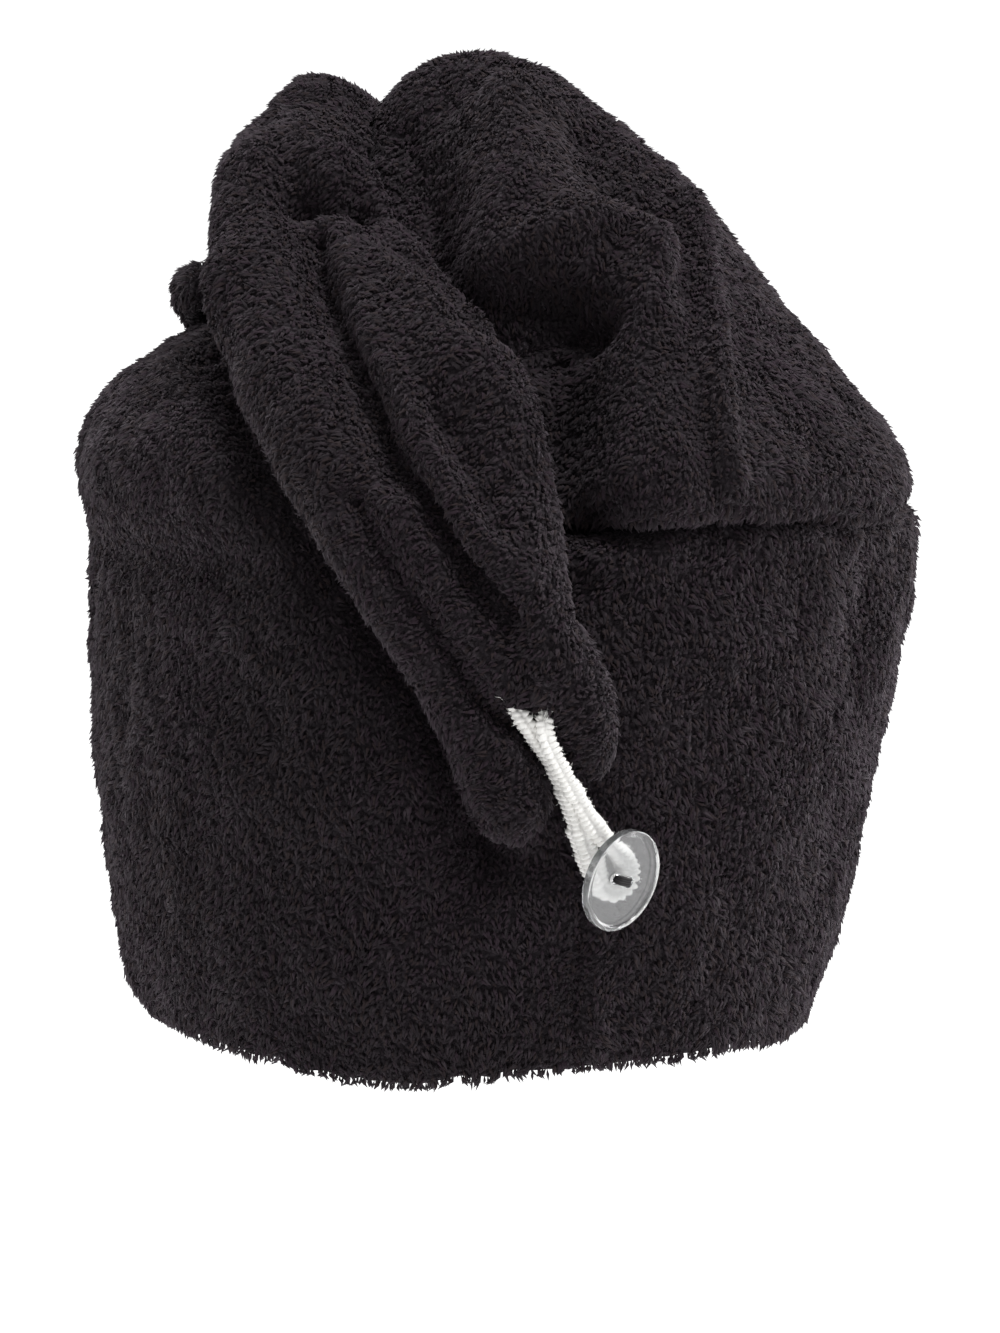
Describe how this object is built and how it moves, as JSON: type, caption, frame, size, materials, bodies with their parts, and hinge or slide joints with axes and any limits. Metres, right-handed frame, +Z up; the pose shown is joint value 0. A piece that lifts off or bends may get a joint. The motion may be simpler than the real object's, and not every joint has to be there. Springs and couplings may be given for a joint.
{
  "type": "hair turban towel",
  "caption": "Plush terry hair turban, worn: a hood with a folded crown and a twisted tail that an elastic loop hooks over a clear button at the nape.",
  "frame": {"origin": "on the head's axis at the height of the hem over the ears, in the middle of the opening that the head goes into", "axes": "+Z up out of the crown, -Y towards the wearer's face, +Y towards the nape, +X towards the wearer's left"},
  "size_m": [0.1842, 0.2115, 0.2215],
  "materials": {
    "terry_cloth": "plush terry pile",
    "knitted_elastic": "ribbed knit",
    "clear_plastic": "clear moulded plastic",
    "black_thread": "matte thread"
  },
  "bodies": {
    "root": {"hood": "terry_cloth", "crown_fold": "terry_cloth", "twisted_tail": "terry_cloth", "side_tuck": "terry_cloth", "elastic_loop": "knitted_elastic", "button": "clear_plastic", "button_thread": "black_thread"}
  },
  "joints": []
}
